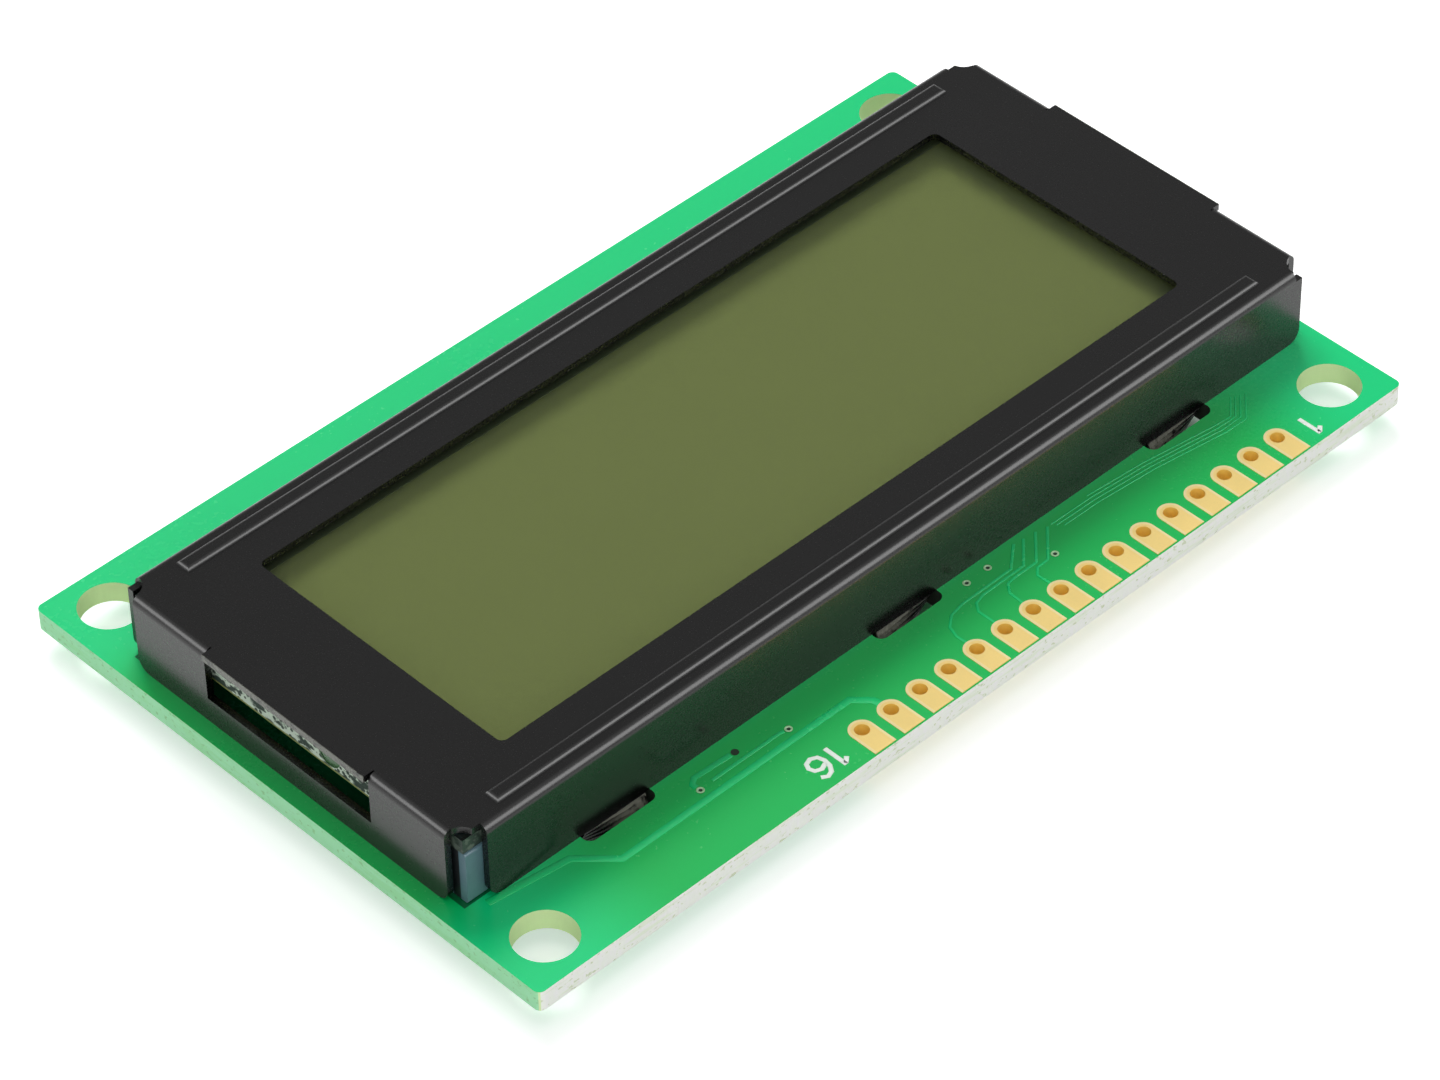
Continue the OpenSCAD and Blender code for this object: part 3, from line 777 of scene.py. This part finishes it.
# the rear plate is drawn opaque, in the reflector's colour that shows through the real one
rear_plate = glass_material("rear_float_glass", REFLECTOR_OLIVE, face_alpha=1,
                            face_roughness=0.7)
rear_shader = rear_plate.node_tree.nodes["Principled BSDF"]
rear_shader.inputs["Specular IOR Level"].default_value = 0.1
coat("rear_glass", rear_plate)
coat("cell_seal", resin_material("seal_epoxy", SEAL_GREEN, roughness=0.45, slow=900, amount=0.3))
coat("front_glass", glass_material("front_float_glass", GLASS_TINT, face_alpha=0.025,
                                   face_roughness=0.05))
coat("fill_port_plug", resin_material("port_resin", PORT_RESIN_GREEN, roughness=0.12, slow=1500,
                                      amount=0.4))
coat("front_polarizer", front_film_material())


# ---------------------------------------------------------------- elastomer strips
# Silicone rubber with a core of thin conductive layers, squeezed between the board's fingers
# and the ledge of the front glass. The sides are soft grey-blue insulation.
RUBBER_SKIN = (0.105, 0.195, 0.235)
RUBBER_LAYER_DARK = (0.008, 0.010, 0.012)
RUBBER_LAYER_PALE = (0.030, 0.036, 0.040)
CORE_HALF = (0.30 * MM, 0.36 * MM)      # the core gives way to the skin between these


def elastomer_material():
    material, tree, shader = start_material("contact_elastomer")
    where, place = object_place(tree)
    low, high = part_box("elastomer_strip_upper")
    strip_off_middle = (low.y + high.y) / 2 - middle_y
    off_core = apart(tree, apart(tree, place[1], middle_y), strip_off_middle)
    in_core = opposite(tree, step_over(tree, off_core, *CORE_HALF))
    layers = add(tree, "ShaderNodeTexWave", wave_type="BANDS", bands_direction="X")
    layers.inputs["Scale"].default_value = 2600
    tree.links.new(where, layers.inputs["Vector"])
    core = mix_colour(tree, layers.outputs["Fac"], RUBBER_LAYER_DARK, RUBBER_LAYER_PALE)
    skin, unevenness = mottled(tree, where, RUBBER_SKIN, slow=500, fine=4000, amount=0.16)
    tree.links.new(mix_colour(tree, in_core, skin, core), shader.inputs["Base Color"])
    shader.inputs["Roughness"].default_value = 0.42
    bump(tree, shader, unevenness, strength=0.4, distance=0.03 * MM)
    return material


elastomer = elastomer_material()
coat("elastomer_strip_upper", elastomer)
coat("elastomer_strip_lower", elastomer)


# ---------------------------------------------------------------- bezel
# One blank of half-millimetre steel, pierced, ribbed and folded, then sprayed with satin
# black enamel and baked. The enamel is thin on the cut edges of the tongues. The twisted
# tabs are lighter where they turn out: partly rubbed steel, partly painted light.
ENAMEL_BLACK = (0.0015, 0.0014, 0.0014)
THIN_ENAMEL = (0.16, 0.165, 0.14)
WORN_AND_LIT_STEEL = (0.46, 0.47, 0.38)
CUT_EDGE_DEPTH = 0.05 * MM
TURNED_OUT = (0.15 * MM, 0.45 * MM)     # the lighter patch, rubbed and painted light, sets in between these
THINNED, WORN_AND_LIT_SHARE = 0.75, 0.85        # how much of the enamel's colour goes in each place
STEEL_SHEEN = 0.4
bezel_half_length = (bezel_high.x - bezel_low.x) / 2


def enamel_material():
    material, tree, shader = start_material("satin_black_enamel")
    where, place = object_place(tree)
    colour, unevenness = mottled(tree, where, ENAMEL_BLACK, slow=60, fine=4200, amount=0.16)
    worn = noise(tree, where, scale=1800, detail=4)
    on_cut_edge = math_node(tree, "GREATER_THAN", apart(tree, place[0], middle_x),
                            bezel_half_length - CUT_EDGE_DEPTH)
    thin_coat = product(tree, on_cut_edge, step_over(tree, worn, 0.30, 0.55))
    thin_coat = product(tree, thin_coat, THINNED)
    # where a tab turns out of the wall it is lighter: partly rubbed steel, partly painted light
    out_of_wall = math_node(tree, "SUBTRACT", apart(tree, place[1], middle_y), wall_y)
    in_board = math_node(tree, "LESS_THAN", place[2], board_front - SKIN / 2)
    worn_and_lit = product(tree, in_board, step_over(tree, out_of_wall, *TURNED_OUT))
    worn_and_lit = product(tree, worn_and_lit, step_over(tree, worn, 0.25, 0.50))
    worn_and_lit = product(tree, worn_and_lit, WORN_AND_LIT_SHARE)
    colour = mix_colour(tree, thin_coat, colour, THIN_ENAMEL)
    colour = mix_colour(tree, worn_and_lit, colour, WORN_AND_LIT_STEEL)
    tree.links.new(colour, shader.inputs["Base Color"])
    bare_and_lit = math_node(tree, "MAXIMUM", thin_coat, worn_and_lit)
    tree.links.new(product(tree, bare_and_lit, STEEL_SHEEN), shader.inputs["Metallic"])
    gloss = around(tree, unevenness, middle=0.27, swing=0.05)
    tree.links.new(gloss, shader.inputs["Roughness"])
    orange_peel = noise(tree, where, scale=2300, detail=2)
    bump(tree, shader, total(tree, orange_peel, unevenness), strength=0.12, distance=0.005 * MM)
    return material


coat("bezel", enamel_material())


# ---------------------------------------------------------------- parts on the back
# Three bare chips are glued to the back, wired, and covered with drops of black resin.
# The chip resistors and capacitors have tinned ends, held by small fillets of solder.
RESIN_BLACK = (0.010, 0.010, 0.011)
RESISTOR_GLAZE = (0.014, 0.014, 0.016)
CAPACITOR_TAN = (0.36, 0.23, 0.12)
TIN = (0.62, 0.62, 0.60)
TIN_ROUGHNESS = 0.30
TINNED_LENGTH = 0.41 * MM


def surface_part_material(name, node_name, body_colour, body_roughness):
    """Ceramic in the middle and tin on the ends, told apart along the part's length."""
    low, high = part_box(node_name)
    middle, half = (low.x + high.x) / 2, (high.x - low.x) / 2
    material, tree, shader = start_material(name)
    where, place = object_place(tree)
    on_end = math_node(tree, "GREATER_THAN", apart(tree, place[0], middle), half - TINNED_LENGTH)
    body, unevenness = mottled(tree, where, body_colour, slow=700, fine=6000, amount=0.2)
    tree.links.new(mix_colour(tree, on_end, body, TIN), shader.inputs["Base Color"])
    tree.links.new(on_end, shader.inputs["Metallic"])
    rough = between(tree, on_end, body_roughness, TIN_ROUGHNESS)
    tree.links.new(rough, shader.inputs["Roughness"])
    bump(tree, shader, unevenness, strength=0.4, distance=0.02 * MM)
    return material


chip_resin = resin_material("chip_potting_resin", RESIN_BLACK, roughness=0.20, slow=350,
                            amount=0.3)
resistor_finish = surface_part_material("glazed_resistor", "resistor_1", RESISTOR_GLAZE, 0.25)
capacitor_finish = surface_part_material("tan_capacitor", "capacitor_1", CAPACITOR_TAN, 0.5)
for name in nodes:
    if name.startswith("chip_cover_"):
        coat(name, chip_resin)
    elif name.startswith("resistor_"):
        coat(name, resistor_finish)
    elif name.startswith("capacitor_"):
        coat(name, capacitor_finish)


# ---------------------------------------------------------------- stage
# A pale floor under the part. The key lamp stands behind it and a fill in front, both kept
# out of reflections, with a weak lamp overhead; two more show only as glints on the folds.
# The camera looks down on the board's corner beyond the last pad, with a long lens.
FLOOR_GREY = (0.86, 0.86, 0.86)
FLOOR_GLOW = 0.48               # brings the open floor up to white as the camera sees it
GLOW_FROM_X = (board_high.x - 11 * MM, board_high.x - 7 * MM)   # no glow under the part
GLOW_FROM_Y = (board_high.y - 9 * MM, board_high.y - 6 * MM)
SKY_SHADING = 0.33              # the strength that lights the part
SKY_SEEN = 1.0                  # the strength that shows behind it and in reflections
DARK_WALL = 0.60                # taken off the reflections of the wall behind the part
WALL_HEIGHT = (0.10, 0.40)
WALL_WIDTH = (0.25, 0.60)
WALL_WAY = -0.7071              # it stands towards minus x and minus y, in equal shares


def seen_directly(tree):
    """1 for rays from the camera, and off gloss or through glass, and 0 for other light."""
    ray = add(tree, "ShaderNodeLightPath").outputs
    mirrored = math_node(tree, "MAXIMUM", ray["Is Glossy Ray"], ray["Is Transmission Ray"])
    return math_node(tree, "MAXIMUM", ray["Is Camera Ray"], mirrored), ray["Is Glossy Ray"]


def floor_material():
    """White to the camera around the part, and a plain pale grey with its shadow below it."""
    material, tree, shader = start_material("studio_floor")
    shader.inputs["Base Color"].default_value = (*FLOOR_GREY, 1)
    shader.inputs["Roughness"].default_value = 0.9
    shader.inputs["Specular IOR Level"].default_value = 0.0
    shader.inputs["Emission Color"].default_value = (1, 1, 1, 1)
    seen, _ = seen_directly(tree)
    _, place = object_place(tree)
    past_x = step_over(tree, math_node(tree, "ABSOLUTE", place[0]), *GLOW_FROM_X)
    past_y = step_over(tree, math_node(tree, "ABSOLUTE", place[1]), *GLOW_FROM_Y)
    open_floor = math_node(tree, "MAXIMUM", past_x, past_y)
    glow = product(tree, product(tree, seen, open_floor), FLOOR_GLOW)
    tree.links.new(glow, shader.inputs["Emission Strength"])
    return material


def studio_world():
    """White all round, with a darker wall behind the part that only reflections see."""
    world = bpy.data.worlds.new("studio")
    world.use_nodes = True
    tree = world.node_tree
    backdrop = tree.nodes["Background"]
    backdrop.inputs["Color"].default_value = (1, 1, 1, 1)
    seen, glossy = seen_directly(tree)
    ray_way = add(tree, "ShaderNodeSeparateXYZ")
    tree.links.new(add(tree, "ShaderNodeTexCoord").outputs["Generated"], ray_way.inputs[0])
    raised = step_over(tree, ray_way.outputs[2], *WALL_HEIGHT)
    behind = total(tree, ray_way.outputs[0], ray_way.outputs[1])
    behind = product(tree, behind, WALL_WAY)
    wall = product(tree, product(tree, raised, step_over(tree, behind, *WALL_WIDTH)), glossy)
    strength = around(tree, wall, between(tree, seen, SKY_SHADING, SKY_SEEN), -DARK_WALL)
    tree.links.new(strength, backdrop.inputs["Strength"])
    return world


def soft_light(name, place, size, power, in_reflections=True, in_shading=True):
    """A square area light that faces the part. It may be kept out of reflections or shading."""
    lamp = bpy.data.lights.new(name, "AREA")
    lamp.size = size
    lamp.energy = power
    light = bpy.data.objects.new(name, lamp)
    bpy.context.scene.collection.objects.link(light)
    light.location = place
    light.rotation_euler = (-Vector(place)).to_track_quat("-Z", "Y").to_euler()
    light.visible_glossy = in_reflections
    light.visible_diffuse = in_shading


bpy.ops.object.select_all(action="DESELECT")
bpy.ops.mesh.primitive_plane_add(size=4, location=(0, 0, 0))
floor = bpy.context.active_object
floor.name = "floor"
floor.data.materials.append(floor_material())

bpy.context.scene.world = studio_world()
soft_light("key", (-0.15, -0.27, 0.42), size=0.28, power=1.83, in_reflections=False)
soft_light("overhead", (0.08, 0.12, 0.58), size=0.30, power=0.45)
soft_light("front_fill", (0.36, 0.42, 0.26), size=0.40, power=0.85, in_reflections=False)
soft_light("long_fold_glint", (-0.25, 0.34, 0.27), size=0.30, power=1.45, in_shading=False)
soft_light("end_fold_glint", (0.34, -0.27, 0.25), size=0.24, power=0.85, in_shading=False)

camera_data = bpy.data.cameras.new("camera")
camera_data.lens = 147.404
camera_data.sensor_width = 36
camera_data.clip_end = 20
camera = bpy.data.objects.new("camera", camera_data)
bpy.context.scene.collection.objects.link(camera)
camera.location = (0.192117, 0.204450, 0.258868)
camera.rotation_euler = (math.radians(47.201), math.radians(1.0265), math.radians(135.9852))
bpy.context.scene.camera = camera
bpy.context.scene.view_settings.view_transform = "Standard"
